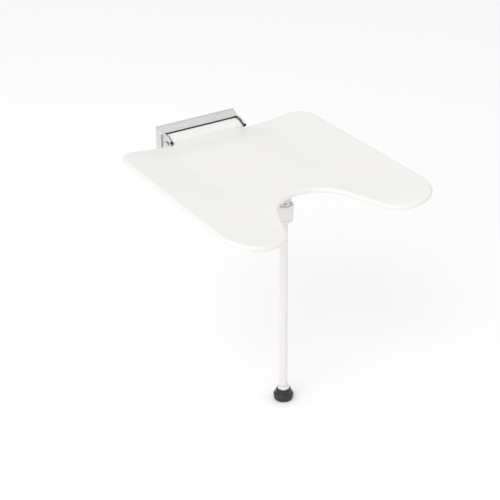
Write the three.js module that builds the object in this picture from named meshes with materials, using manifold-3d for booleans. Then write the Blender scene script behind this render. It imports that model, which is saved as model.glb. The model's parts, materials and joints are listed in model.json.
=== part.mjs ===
// Wall-hung folding shower seat with a drop-down floor leg.
// Millimetres, +Z up. The origin is the centre of the bracket's back face, the wall is the plane
// Y = 0, and the seat reaches out along -Y. The object is symmetric about X = 0.

import * as THREE from 'three';
import { mergeVertices } from 'three/addons/utils/BufferGeometryUtils.js';
import Module from 'manifold-3d';

const wasm = await Module();
wasm.setup();

// ---- driving dimensions -------------------------------------------------------------------

// wall bracket
const BRACKET_WIDTH = 186;
const BRACKET_HEIGHT = 100;
const BRACKET_DEPTH = 20;
const COVER_WALL = 2.5;
const COVER_SIDE = 3.5;
const COVER_SCREW_X = 45;
const COVER_SCREW_Y = -10;
const WIPER = { half: 85.6, back: -17.3, bottom: 35.5, top: 39.3 };
const WIPER_BLOCK = { inner: 79.5, front: -20.8, bottom: 36.2, top: 40.2 };
const PLATE_THICK = 4;
const FIXING_SPACING_X = 140;
const FIXING_SPACING_Z = 60;
const FIXING_HOLE_R = 4.2;

// seat hinge
const AXIS_Y = -39;
const AXIS_Z = 14.5;
const AXLE_R = 6;
const CHEEK_IN = 86;
const CHEEK_OUT = 89;
const CHEEK_ARC = { y: -32, z: 5, r: 38.8 };
const CHEEK_FRONT = -55.2;
const CHEEK_SHOULDER = { y: -20.3, z: 36 };
const CHEEK_RIM = 0.9;
const SEAL_IN = 84.5;
const BARREL_HALF = 81.5;
const BARREL_SKIRT = 84;
const BARREL_R = 28;
const BARREL_WALL = 2.5;
const GAP = 0.3;

// seat shell
const SEAT_HALF_BACK = 225;
const SEAT_HALF_FRONT = 229;
const SEAT_BACK = -61;
const TONGUE_HALF = 84;
const TONGUE_BACK = -57.2;
const SLOT_OUTER = 91.2;
const SLOT_SWEEP_R = 33.8;
const SEAT_SHOULDER = -72;
const BACK_CORNER_R = 45;
const NOSE = { x: 167, y: -485, tip: 76, mouth: 62, mouthY: -511, mouthTip: 50 };
const CUTOUT_R = 84;
const CUTOUT_BACK = -397;
const EDGE_R = 5.5;
const CREASE_X = 115;
const CREASE_TOP = 38.5;
const CROWN = 2.5;
const WING_RISE = 12;
const SEAM_DROP = 6.4;
const UNDERSIDE = CREASE_TOP - 2 * EDGE_R;
const FACE_ROWS = [-100, -140, -240, -340];
const FACE_COLUMNS = [-CREASE_X, -75, -38, 0, 38, 75, CREASE_X];

// supports under the seat
const ARM_X = 60;
const ARM_HALF = 8;
const ARM_END = -300;
const RAIL_Y = -200;
const RAIL_Z = 14.5;
const SEAT_SCREW_YS = [-110, -190, -270];
const BRACKET_SCREWS = [[16, -374], [19.5, -352]];

// leg
const FLOOR_Z = -458.5;
const LEG_Y = -346.5;
const PIVOT_Z = 1.5;
const PIN_R = 3;
const DOME_R = 15;
const SOCKET_R = 19;
const SOCKET_TOP = -6.5;
const SOCKET_BOTTOM = -36.5;
const TUBE_R = 8.2;
const TUBE_WALL = 1.5;
const TUBE_END = FLOOR_Z + 32;

// ---- materials ----------------------------------------------------------------------------

const paint = (color, roughness, metalness) =>
  new THREE.MeshStandardMaterial({ color, roughness, metalness });
const seatWhite = () => paint(0xf1f0ec, 0.25, 0);
const coatWhite = () => paint(0xeeecea, 0.35, 0);
const chrome = () => paint(0xc9cbce, 0.12, 1);
const steel = () => paint(0x9b9da1, 0.35, 1);
const blackPlastic = () => paint(0x161617, 0.5, 0);
const blackRubber = () => paint(0x1d1d1e, 0.45, 0);

// ---- solids -------------------------------------------------------------------------------

// A solid from any closed three.js geometry, with shared vertices merged and slivers dropped.
function solid(geometry) {
  let g = geometry.index ? geometry.toNonIndexed() : geometry.clone();
  for (const name of Object.keys(g.attributes)) {
    if (name !== 'position') g.deleteAttribute(name);
  }
  g = mergeVertices(g, 1e-4);
  const index = g.index.array;
  const kept = [];
  for (let i = 0; i < index.length; i += 3) {
    const [a, b, c] = [index[i], index[i + 1], index[i + 2]];
    if (a !== b && b !== c && c !== a) kept.push(a, b, c);
  }
  return new wasm.Manifold(new wasm.Mesh({
    numProp: 3,
    vertProperties: new Float32Array(g.attributes.position.array),
    triVerts: new Uint32Array(kept),
  }));
}

function geometryOf(body) {
  const mesh = body.getMesh();
  const g = new THREE.BufferGeometry();
  g.setAttribute('position', new THREE.BufferAttribute(new Float32Array(mesh.vertProperties), 3));
  g.setIndex(new THREE.BufferAttribute(new Uint32Array(mesh.triVerts), 1));
  g.computeVertexNormals();
  return g;
}

const join = (...bodies) => bodies.reduce((sum, body) => sum.add(body));
const cut = (body, ...tools) => tools.reduce((rest, tool) => rest.subtract(tool), body);

function box([x0, x1], [y0, y1], [z0, z1]) {
  const g = new THREE.BoxGeometry(x1 - x0, y1 - y0, z1 - z0);
  g.translate((x0 + x1) / 2, (y0 + y1) / 2, (z0 + z1) / 2);
  return solid(g);
}

// A straight round bar along X, from x0 to x1.
function barX(r, x0, x1, y, z, sides = 32) {
  const g = new THREE.CylinderGeometry(r, r, x1 - x0, sides);
  g.rotateZ(Math.PI / 2);
  g.translate((x0 + x1) / 2, y, z);
  return solid(g);
}

// A straight round bar along Z, from z0 to z1.
function barZ(r, z0, z1, x, y, sides = 32) {
  const g = new THREE.CylinderGeometry(r, r, z1 - z0, sides);
  g.rotateX(Math.PI / 2);
  g.translate(x, y, (z0 + z1) / 2);
  return solid(g);
}

// A turned piece about a vertical axis; the profile is [radius, z] pairs.
function turned(profile, x, y, sides = 40) {
  const g = new THREE.LatheGeometry(profile.map(([r, z]) => new THREE.Vector2(r, z)), sides);
  g.rotateX(Math.PI / 2);
  g.translate(x, y, 0);
  const body = solid(g);
  return body.volume() < 0 ? solid(flipped(g)) : body;
}

function flipped(geometry) {
  const g = geometry.toNonIndexed();
  const p = g.attributes.position;
  for (let i = 0; i < p.count; i += 3) {
    const [x, y, z] = [p.getX(i + 1), p.getY(i + 1), p.getZ(i + 1)];
    p.setXYZ(i + 1, p.getX(i + 2), p.getY(i + 2), p.getZ(i + 2));
    p.setXYZ(i + 2, x, y, z);
  }
  return g;
}

// A flat piece: an outline of [y, z] pairs, extruded along X from x0 to x1.
function slab(outline, x0, x1) {
  const shape = new THREE.Shape(outline.map(([y, z]) => new THREE.Vector2(y, z)));
  const g = new THREE.ExtrudeGeometry(shape, { depth: x1 - x0, bevelEnabled: false });
  g.applyMatrix4(new THREE.Matrix4().makeBasis(
    new THREE.Vector3(0, 1, 0), new THREE.Vector3(0, 0, 1), new THREE.Vector3(1, 0, 0)));
  g.translate(x0, 0, 0);
  return solid(g);
}

// Points on an arc about (cy, cz), angles in degrees from +Y towards +Z.
function arc(cy, cz, r, from, to, steps) {
  const points = [];
  for (let i = 0; i <= steps; i++) {
    const a = THREE.MathUtils.degToRad(from + (to - from) * i / steps);
    points.push([cy + r * Math.cos(a), cz + r * Math.sin(a)]);
  }
  return points;
}

const model = new THREE.Group();

function add(name, body, material) {
  const mesh = new THREE.Mesh(geometryOf(body), material);
  mesh.name = name;
  model.add(mesh);
}

// Both members of a left and right pair, from the right-hand one.
function addPair(name, body, material) {
  add(`${name}_right`, body, material());
  add(`${name}_left`, body.mirror([1, 0, 0]), material());
}

// ---- wall bracket -------------------------------------------------------------------------

// Side view of the cover: its top and bottom faces round off towards the front.
function coverProfile(inset) {
  const half = BRACKET_HEIGHT / 2 - inset;
  const upper = [[0, 0], [-5, 0.4], [-10, 1.7], [-15, 4.3], [-19, 7.9], [-BRACKET_DEPTH, 9.6]];
  const top = upper.map(([y, drop]) => [y, half - drop]);
  const bottom = top.map(([y, z]) => [y, -z]).reverse();
  return [...top, ...bottom];
}

// The same profile run past the cover's back and front, so that it cuts right through.
function coverHollow() {
  const past = 1;
  const inner = coverProfile(COVER_WALL);
  const last = inner.length - 1;
  return inner.map(([y, z], i) => [y + (i === 0 || i === last ? past : 0)
    - (y === -BRACKET_DEPTH ? past : 0), z]);
}

function wallBracket() {
  const halfX = BRACKET_WIDTH / 2;
  const halfZ = BRACKET_HEIGHT / 2;
  const innerX = halfX - COVER_SIDE;
  const screwXs = [-COVER_SCREW_X, COVER_SCREW_X];
  const screwHoles = screwXs.map((x) => barZ(2.4, -halfZ - 1, -30, x, COVER_SCREW_Y, 20));
  const { half, back, bottom, top } = WIPER;
  const rabbet = box([-half - GAP, half + GAP], [-BRACKET_DEPTH - 1, back + GAP], [bottom, top + GAP]);
  add('housing_cover', cut(slab(coverProfile(0), -halfX, halfX),
    slab(coverHollow(), -innerX, innerX), rabbet, ...screwHoles), chrome());

  // Wiper strip along the cover's front edge that closes the gap above the turning barrel, with a
  // proud block at each end.
  const strip = box([-half, half], [-BRACKET_DEPTH, back], [bottom, top]);
  const blocks = [[WIPER_BLOCK.inner, half], [-half, -WIPER_BLOCK.inner]].flatMap((span) => [
    box(span, [WIPER_BLOCK.front, back], [WIPER_BLOCK.bottom, top]),
    box(span, [WIPER_BLOCK.front, -BRACKET_DEPTH - GAP], [WIPER_BLOCK.bottom, WIPER_BLOCK.top])]);
  add('barrel_wiper', join(strip, ...blocks), blackRubber());

  const plateX = innerX - GAP * 2;
  const plateZ = halfZ - COVER_WALL - GAP * 2;
  const plate = box([-plateX, plateX], [-PLATE_THICK, 0], [-plateZ, plateZ]);
  const tabs = screwXs.map((x) => box([x - 8, x + 8], [-15, -PLATE_THICK + 1], [-42.4, -37.4]));
  const fixings = [-1, 1].flatMap((i) => [-1, 1].map((k) => {
    const hole = new THREE.CylinderGeometry(FIXING_HOLE_R, FIXING_HOLE_R, PLATE_THICK + 2, 24);
    hole.translate(i * FIXING_SPACING_X / 2, -PLATE_THICK / 2, k * FIXING_SPACING_Z / 2);
    return solid(hole);
  }));
  add('wall_plate', cut(join(plate, ...tabs), ...fixings, ...screwHoles), steel());

  screwXs.forEach((x, i) => {
    add(`cover_screw_${i + 1}`, barZ(2.1, -halfZ + 0.4, -38, x, COVER_SCREW_Y, 20), steel());
  });
}

// ---- hinge ends ---------------------------------------------------------------------------

// Side view of a cheek: a rounded nose in front of the cover, cut square where it meets the wall.
function cheekProfile(rimInset) {
  const r = CHEEK_ARC.r - rimInset;
  const front = CHEEK_FRONT + rimInset;
  const angleAt = (y) => THREE.MathUtils.radToDeg(Math.acos((y - CHEEK_ARC.y) / r));
  const { y: shoulderY, z: shoulderZ } = CHEEK_SHOULDER;
  const nose = arc(CHEEK_ARC.y, CHEEK_ARC.z, r, angleAt(shoulderY), angleAt(front), 14);
  const lower = arc(AXIS_Y, AXIS_Z - 4, AXIS_Y - front, 180, 250, 6);
  const back = -PLATE_THICK - GAP;
  return [[back, shoulderZ - rimInset], [shoulderY, shoulderZ - rimInset], ...nose, ...lower,
    [-19.7, -shoulderZ + rimInset], [back, -shoulderZ + rimInset]];
}

function hingeEnds() {
  const rimWidth = 3.5;
  const rimBottom = 30.5;
  const rim = cut(slab(cheekProfile(0), CHEEK_OUT - 0.5, CHEEK_OUT + CHEEK_RIM),
    slab(cheekProfile(rimWidth), CHEEK_OUT - 1, CHEEK_OUT + 2),
    box([CHEEK_OUT - 2, CHEEK_OUT + 2], [CHEEK_SHOULDER.y, 0], [-60, 60]),
    box([CHEEK_OUT - 2, CHEEK_OUT + 2], [-60, 0], [-60, rimBottom]));
  const cheek = cut(join(slab(cheekProfile(0), CHEEK_IN, CHEEK_OUT), rim),
    barX(8.3, CHEEK_IN - 1, CHEEK_OUT + 2, AXIS_Y, AXIS_Z));
  addPair('side_cheek', cheek, chrome);

  // Flanged bush that carries the axle in the cheek.
  const bush = cut(join(barX(8, CHEEK_IN - 1, CHEEK_OUT, AXIS_Y, AXIS_Z),
    barX(12, CHEEK_IN - GAP - 1.3, CHEEK_IN - GAP, AXIS_Y, AXIS_Z)),
  barX(AXLE_R + 0.1, CHEEK_IN - 3, CHEEK_OUT + 1, AXIS_Y, AXIS_Z));
  addPair('axle_bush', bush, blackPlastic);

  // Brake ring squeezed between the bush and the turning barrel.
  const brake = cut(barX(14, 82, 84.1, AXIS_Y, AXIS_Z), barX(AXLE_R + 0.3, 81, 85, AXIS_Y, AXIS_Z));
  addPair('friction_disc', brake, blackPlastic);

  const cap = join(barX(15, CHEEK_OUT + GAP, CHEEK_OUT + 1.4, AXIS_Y, AXIS_Z, 40),
    barX(13.8, CHEEK_OUT + 1, CHEEK_OUT + 2.4, AXIS_Y, AXIS_Z, 40));
  addPair('axle_cap', cap, chrome);

  add('hinge_axle', barX(AXLE_R, -CHEEK_OUT + 0.2, CHEEK_OUT - 0.2, AXIS_Y, AXIS_Z), steel());

  // Seal on the inside of the cheek's nose, ending in a square block at the front.
  const { y, z, r } = CHEEK_ARC;
  const band = [...arc(y, z, r - 0.3, 74, 127, 14), ...arc(y, z, r - 1.6, 127, 74, 14)];
  const seal = join(slab(band, SEAL_IN, CHEEK_IN - GAP),
    box([SEAL_IN, CHEEK_OUT + CHEEK_RIM], [CHEEK_FRONT - 5.1, CHEEK_FRONT - GAP], [31, 36.2]),
    box([SEAL_IN, CHEEK_IN - GAP], [CHEEK_FRONT - 1, CHEEK_FRONT + 1.5], [31, 35.6]));
  addPair('cheek_seal', seal, blackRubber);

  // Buffers on the wall plate that the arms' heels rest against with the seat down.
  const buffer = box([ARM_X - 7, ARM_X + 7], [-9, -PLATE_THICK - GAP], [-24, -10]);
  addPair('stop_buffer', buffer, blackRubber);
}

// ---- seat shell ---------------------------------------------------------------------------

const smooth = (t) => THREE.MathUtils.smoothstep(t, 0, 1);

// Height of the seat's mid-surface: a shallow crown between two creases, and wings that rise.
function seatMid(x, y) {
  const a = Math.abs(x);
  const crown = CROWN * (1 - (a / CREASE_X) ** 2);
  const wing = WING_RISE * (a - CREASE_X) / (SEAT_HALF_BACK - CREASE_X);
  const back = smooth((y + 140) / (SEAT_BACK + 140));
  const drop = SEAM_DROP * back * (1 - smooth((a - 85) / 125));
  return CREASE_TOP - EDGE_R + (a < CREASE_X ? crown * (1 - back) : wing) - drop;
}

// Half outline, from the middle of the back edge round to the middle of the cutout.
function seatHalfOutline() {
  const points = [];
  const cornerX = SEAT_HALF_BACK - BACK_CORNER_R;
  for (const x of [0, 30, 60, 82, 93, CREASE_X, 130, 145, 160, 170]) {
    points.push([x, SEAT_BACK + (SEAT_SHOULDER - SEAT_BACK) * smooth((x - 95) / 85)]);
  }
  for (let i = 0; i <= 8; i++) {
    const a = Math.PI / 2 * (1 - i / 8);
    points.push([cornerX + BACK_CORNER_R * Math.cos(a),
      SEAT_SHOULDER - BACK_CORNER_R * (1 - Math.sin(a))]);
  }
  const sideTop = SEAT_SHOULDER - BACK_CORNER_R;
  for (let i = 1; i < 7; i++) {
    const t = i / 7;
    points.push([SEAT_HALF_BACK + (SEAT_HALF_FRONT - SEAT_HALF_BACK) * t,
      sideTop + (NOSE.y - sideTop) * t]);
  }
  for (let i = 0; i <= 9; i++) {
    const a = Math.PI / 2 * i / 9;
    points.push([NOSE.x + (SEAT_HALF_FRONT - NOSE.x) * Math.cos(a), NOSE.y - NOSE.tip * Math.sin(a)]);
  }
  for (let i = 1; i <= 8; i++) {
    const a = THREE.MathUtils.degToRad(90 - 74.4 * i / 8);
    points.push([NOSE.x - NOSE.mouth * Math.cos(a), NOSE.mouthY - NOSE.mouthTip * Math.sin(a)]);
  }
  for (let i = 0; i <= 10; i++) {
    const a = THREE.MathUtils.degToRad(72.2 * (1 - i / 10));
    points.push([CUTOUT_R * Math.sin(a), CUTOUT_BACK - CUTOUT_R * (1 - Math.cos(a))]);
  }
  return points;
}

function seatOutline() {
  const half = seatHalfOutline();
  const other = half.slice(1, -1).reverse().map(([x, y]) => [-x, y]);
  return [...half, ...other];
}

// The outline moved inwards by a distance, along the mean normal at each point.
function insetOutline(outline, distance) {
  const count = outline.length;
  return outline.map(([x, y], i) => {
    const before = outline[(i + count - 1) % count];
    const after = outline[(i + 1) % count];
    const d = new THREE.Vector2(after[0] - before[0], after[1] - before[1]).normalize();
    return [x + distance * d.y, y - distance * d.x];
  });
}

// A plate with full-round edges, lofted from rings and closed by two faces split at the creases.
function seatPlate() {
  const outline = seatOutline();
  const count = outline.length;
  const positions = [];
  const index = [];
  const levels = [90, 60, 30, 0, -30, -60, -90];
  for (const level of levels) {
    const a = THREE.MathUtils.degToRad(level);
    for (const [x, y] of insetOutline(outline, EDGE_R * (1 - Math.cos(a)))) {
      positions.push(x, y, seatMid(x, y) + EDGE_R * Math.sin(a));
    }
  }
  for (let k = 0; k + 1 < levels.length; k++) {
    for (let i = 0; i < count; i++) {
      const [a, b] = [k * count + i, k * count + (i + 1) % count];
      const [c, d] = [a + count, b + count];
      index.push(a, b, c, b, d, c);
    }
  }
  for (const [base, side] of [[0, 1], [(levels.length - 1) * count, -1]]) {
    for (const [a, b, c] of faceTriangles(positions, base, count, side)) {
      index.push(...(side > 0 ? [a, c, b] : [a, b, c]));
    }
  }
  const g = new THREE.BufferGeometry();
  g.setAttribute('position', new THREE.Float32BufferAttribute(positions, 3));
  g.setIndex(index);
  return g;
}

// Triangles of one face. Rows of inner points between the creases hold the height of the crown,
// and the centre and the wings meet only along the creases, so that each folds on its own.
function faceTriangles(positions, base, count, side) {
  const at = (id) => new THREE.Vector2(positions[3 * id], positions[3 * id + 1]);
  const span = (from, to) => Array.from({ length: to - from + 1 },
    (_, k) => base + (from + k) % count);
  const rows = FACE_ROWS.map((y) => FACE_COLUMNS.map((x) => {
    positions.push(x, y, seatMid(x, y) + side * EDGE_R);
    return positions.length / 3 - 1;
  }));
  const nearCrease = (i, front) => {
    const p = at(base + i);
    return p.x > 0 && (p.y < -400) === front ? Math.abs(p.x - CREASE_X) : Infinity;
  };
  const pick = (front) => span(0, count - 1).map((_, i) => nearCrease(i, front))
    .reduce((best, d, i, all) => (d < all[best] ? i : best), 0);
  const [back, front] = [pick(false), pick(true)];
  const last = rows.length - 1;
  const right = rows.map((row) => row[row.length - 1]);
  const left = rows.map((row) => row[0]);
  const outlines = [
    [...span(count - back, count + back), ...rows[0].slice().reverse()],
    [...span(front, count - front), ...rows[last]],
    [...span(back, front), ...right.slice().reverse()],
    [...span(count - front, count - back), ...left],
  ];
  for (let k = 0; k < last; k++) {
    for (let j = 0; j + 1 < FACE_COLUMNS.length; j++) {
      outlines.push([rows[k][j], rows[k][j + 1], rows[k + 1][j + 1], rows[k + 1][j]]);
    }
  }
  return outlines.flatMap((ids) => THREE.ShapeUtils.triangulateShape(ids.map(at), []).map((tri) => {
    const [a, b, c] = tri.map((k) => ids[k]);
    const [p, q, r] = [a, b, c].map(at);
    const turn = (q.x - p.x) * (r.y - p.y) - (q.y - p.y) * (r.x - p.x);
    return turn > 0 ? [a, c, b] : [a, b, c];
  }));
}

// Tongue between the slots that carries the seat surface back to the barrel with a crisp edge.
function seatTongue() {
  const end = TONGUE_BACK;
  const root = SEAT_BACK - 13;
  const thick = 10;
  const chamfer = 1.2;
  const top = (y) => seatMid(0, Math.min(y, SEAT_BACK)) + EDGE_R - 0.05;
  return slab([[end, top(end) - thick], [end, top(end) - chamfer], [end - chamfer, top(end)],
    [SEAT_BACK, top(end)], [root, top(root)], [root, top(root) - thick]], -TONGUE_HALF, TONGUE_HALF);
}

// The slots' floors follow a circle about the axle, so that the cheeks and seals stay clear of them
// through the whole fold.
function seatShell() {
  const slots = [[TONGUE_HALF, SLOT_OUTER], [-SLOT_OUTER, -TONGUE_HALF]].map(
    ([x0, x1]) => barX(SLOT_SWEEP_R, x0, x1, AXIS_Y, AXIS_Z, 96));
  const armHoles = SEAT_SCREW_YS.flatMap((y) => [-ARM_X, ARM_X].map(
    (x) => barZ(2.9, UNDERSIDE - 8, seatMid(x, y) + 2, x, y, 16)));
  const legHoles = BRACKET_SCREWS.flatMap(([x, y]) => [-x, x].map(
    (sx) => barZ(2.4, UNDERSIDE - 8, seatMid(sx, y) + 1, sx, y, 16)));
  add('seat_shell', cut(join(solid(seatPlate()), seatTongue()), ...slots, ...armHoles, ...legHoles),
    seatWhite());
}

// ---- barrel and arms ----------------------------------------------------------------------

// Side view of the barrel cover, which continues the seat surface back over the axle.
function barrelProfile(inset) {
  const rimStart = 61.6;
  const rimEnd = -12;
  const bulge = 3.2;
  const top = [];
  const y0 = TONGUE_BACK + GAP + 0.1;
  const z0 = CREASE_TOP - SEAM_DROP - 0.3;
  const rim = arc(AXIS_Y, AXIS_Z, BARREL_R - inset, rimStart, rimEnd, 10);
  const [y1, z1] = rim[0];
  for (let i = 0; i < 10; i++) {
    const t = i / 10;
    const lift = z0 - inset + (z1 - z0 + inset) * t;
    top.push([y0 + (y1 - y0) * t, lift + bulge * Math.sin(Math.PI * t)]);
  }
  return [...top, ...rim];
}

function barrel() {
  const outer = barrelProfile(0);
  const inner = barrelProfile(BARREL_WALL).reverse();
  const shell = slab([...outer, ...inner], -BARREL_SKIRT, BARREL_SKIRT);
  const wall = [...outer, [AXIS_Y + 12, AXIS_Z - 12], [AXIS_Y - 14, AXIS_Z - 12],
    [TONGUE_BACK + 0.4, AXIS_Z]];
  const endWall = 3;
  const ends = [[BARREL_HALF - endWall, BARREL_HALF], [-BARREL_HALF, endWall - BARREL_HALF]].map(
    ([x0, x1]) => slab(wall, x0, x1));
  add('hinge_barrel', cut(join(shell, ...ends),
    barX(AXLE_R + 0.3, -100, 100, AXIS_Y, AXIS_Z)), seatWhite());
}

// Side view of an arm: an eye round the axle, a heel behind it and a tapering bar in front.
function armProfile() {
  const eye = arc(AXIS_Y, AXIS_Z, 15, 60, 150, 8);
  const top = UNDERSIDE - GAP - 0.1;
  const bar = [[-62, 13.4], [-100, 17.2], [-140, top], [ARM_END + 6, top], [ARM_END, UNDERSIDE - 6],
    [ARM_END, UNDERSIDE - 10], [-180, 6], [-60, -6]];
  const heel = [[-16, -22], [-9.4, -22], [-9.4, -12]];
  return [...eye, ...bar, ...heel, ...arc(AXIS_Y, AXIS_Z, 15, -10, 40, 4)];
}

function arms() {
  const holes = SEAT_SCREW_YS.map((y) => barZ(2.9, -30, 60, ARM_X, y, 16));
  const arm = cut(slab(armProfile(), ARM_X - ARM_HALF, ARM_X + ARM_HALF),
    barX(8.8, 40, 80, AXIS_Y, AXIS_Z), barX(3.4, 40, 80, RAIL_Y, RAIL_Z, 16), ...holes);
  addPair('support_arm', arm, coatWhite);

  const sleeve = cut(barX(8.5, ARM_X - 9.5, ARM_X + 9.5, AXIS_Y, AXIS_Z),
    barX(AXLE_R + 0.1, 40, 80, AXIS_Y, AXIS_Z));
  addPair('arm_bush', sleeve, blackPlastic);

  // Spacer tube that keeps the two arms apart on the axle.
  const spacer = cut(barX(9.5, -ARM_X + 9.8, ARM_X - 9.8, AXIS_Y, AXIS_Z),
    barX(AXLE_R + 0.3, -80, 80, AXIS_Y, AXIS_Z));
  add('axle_spacer', spacer, steel());

  const railEnd = ARM_X - ARM_HALF - GAP;
  const rail = cut(box([-railEnd, railEnd], [RAIL_Y - 12, RAIL_Y + 12], [RAIL_Z - 4, RAIL_Z + 4]),
    barX(2.9, -railEnd - 1, -railEnd + 14, RAIL_Y, RAIL_Z, 16),
    barX(2.9, railEnd - 14, railEnd + 1, RAIL_Y, RAIL_Z, 16));
  add('cross_rail', rail, coatWhite());

  const outside = ARM_X + ARM_HALF + GAP;
  const railScrew = join(barX(5, outside, outside + 3.2, RAIL_Y, RAIL_Z, 20),
    barX(2.6, railEnd - 12, outside + 1, RAIL_Y, RAIL_Z, 16));
  addPair('rail_screw', railScrew, steel);

  // The arm's lower edge slopes at two rates, and each screw's head hangs just clear of it.
  const bendY = -180;
  SEAT_SCREW_YS.forEach((y, i) => {
    const nearSlope = 6 - 12 * (y - bendY) / 120 - 1.3;
    const farSlope = UNDERSIDE - 10 - (UNDERSIDE - 16) * (y - ARM_END) / 120 - 0.8;
    const head = y > bendY ? nearSlope : farSlope;
    const screw = join(barZ(5, head - 3.2, head, ARM_X, y, 20),
      barZ(2.6, head - 1, seatMid(ARM_X, y) + 1.5, ARM_X, y, 16));
    addPair(`seat_screw_${i + 1}`, screw, steel);
  });
}

// ---- leg ----------------------------------------------------------------------------------

function legBracket() {
  const top = UNDERSIDE - GAP;
  const base = box([-26, 26], [LEG_Y - 36, LEG_Y + 6], [top - 4, top]);
  const ear = [[LEG_Y + 6, top - 1], [LEG_Y - 7.6, top - 1],
    ...arc(LEG_Y, PIVOT_Z, 7.6, 180, 360, 12)];
  const holes = BRACKET_SCREWS.flatMap(([x, y]) => [-x, x].map((sx) => barZ(2.4, 0, 40, sx, y, 16)));
  add('leg_bracket', cut(join(base, slab(ear, -6, 6)),
    barX(PIN_R + 0.15, -10, 10, LEG_Y, PIVOT_Z, 24), ...holes), steel());

  BRACKET_SCREWS.forEach(([x, y], i) => {
    const screw = join(barZ(4, top - 6.8, top - 4 - GAP, x, y, 20),
      barZ(2.1, top - 5, seatMid(x, y) + 0.5, x, y, 16));
    addPair(`bracket_screw_${i + 1}`, screw, steel);
  });
}

function leg() {
  // Socket: a collar under a rounded knuckle, slotted at the rear where the bracket's ear swings.
  const collar = turned([[0, SOCKET_BOTTOM], [SOCKET_R - 0.8, SOCKET_BOTTOM],
    [SOCKET_R, SOCKET_BOTTOM + 1], [SOCKET_R, SOCKET_TOP - 1.6], [SOCKET_R - 1.6, SOCKET_TOP],
    [0, SOCKET_TOP]], 0, LEG_Y);
  const knuckle = barX(DOME_R, -DOME_R, DOME_R, LEG_Y, PIVOT_Z, 40)
    .intersect(barZ(DOME_R, -30, 40, 0, LEG_Y, 40));
  const neck = barZ(DOME_R, SOCKET_TOP - 2, PIVOT_Z, 0, LEG_Y, 40);
  const slot = join(barX(8.4, -6.5, 6.5, LEG_Y, PIVOT_Z),
    box([-6.5, 6.5], [LEG_Y - 8.4, LEG_Y + 30], [PIVOT_Z, 30]),
    box([-6.5, 6.5], [LEG_Y, LEG_Y + 30], [PIVOT_Z - 8.4, 30]));
  const socket = cut(join(collar, knuckle, neck), slot,
    barX(PIN_R + 0.15, -30, 30, LEG_Y, PIVOT_Z, 24),
    barX(4.6, 11.6, 30, LEG_Y, PIVOT_Z, 24), barX(4.6, -30, -11.6, LEG_Y, PIVOT_Z, 24),
    barZ(TUBE_R + GAP, SOCKET_BOTTOM - 1, -13, 0, LEG_Y));
  add('leg_socket', socket, coatWhite());

  add('leg_pin', join(barX(PIN_R, -13.2, 13.2, LEG_Y, PIVOT_Z, 24),
    barX(4.3, 11.9, 13.2, LEG_Y, PIVOT_Z, 24)), steel());
  const clip = cut(barX(4.3, -13, -12, LEG_Y, PIVOT_Z, 24),
    barX(PIN_R + 0.15, -20, -10, LEG_Y, PIVOT_Z, 24));
  add('pin_clip', clip, steel());

  const ring = [[TUBE_R + GAP, -42.6], [17, -42.6], [18, -41.6], [18, -37.2], [TUBE_R + GAP, -37.2]];
  add('socket_ring', turned([...ring, ring[0]], 0, LEG_Y), coatWhite());

  const bore = TUBE_R - TUBE_WALL;
  const tubeTop = -13.6;
  const tube = [[bore, TUBE_END], [TUBE_R, TUBE_END], [TUBE_R, tubeTop], [bore, tubeTop]];
  add('leg_tube', turned([...tube, tube[0]], 0, LEG_Y), coatWhite());

  const [from, to] = [TUBE_END + 0.5, TUBE_END + 22];
  const insert = [[5.3, from], [bore - GAP, from], [bore - GAP, to], [5.3, to]];
  add('thread_insert', turned([...insert, insert[0]], 0, LEG_Y), steel());
}

function foot() {
  const lift = (profile) => profile.map(([r, z]) => [r, FLOOR_Z + z]);
  const spindle = [[0, 7], [8, 7], [8, 11], [5, 11], [5, 100], [4, 101.5], [0, 101.5]];
  add('foot_spindle', turned(lift(spindle), 0, LEG_Y, 32), steel());

  const ferrule = [[5.3, 22.5], [12, 22.5], [12.5, 23], [12.5, 30.2], [11.6, 31.4], [5.3, 31.4],
    [5.3, 22.5]];
  add('foot_ferrule', turned(lift(ferrule), 0, LEG_Y, 32), coatWhite());

  const sole = [[0, 0], [17.8, 0], [19.2, 1], [19.7, 3], [19.9, 8.6]];
  const band = [[20.8, 9.6], [20.8, 11.6], [19.4, 13.4]];
  const bell = [[17.6, 16], [16.4, 19.5], [14.6, 24], [13.8, 26], [12.9, 26]];
  const cup = [[12.9, 22.1], [8.4, 22.1], [8.4, 6.6], [0, 6.6]];
  add('rubber_foot', turned(lift([...sole, ...band, ...bell, ...cup]), 0, LEG_Y), blackRubber());
}

wallBracket();
hingeEnds();
seatShell();
barrel();
arms();
legBracket();
leg();
foot();

export default model;
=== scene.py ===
"""Looks for a wall-hung folding shower seat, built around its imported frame. Everything is in metres."""

import json
import math

import bmesh
import bpy
from bpy.props import FloatProperty, FloatVectorProperty, PointerProperty
from bpy.types import Operator, Panel, PropertyGroup
from mathutils import Matrix, Vector

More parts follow.
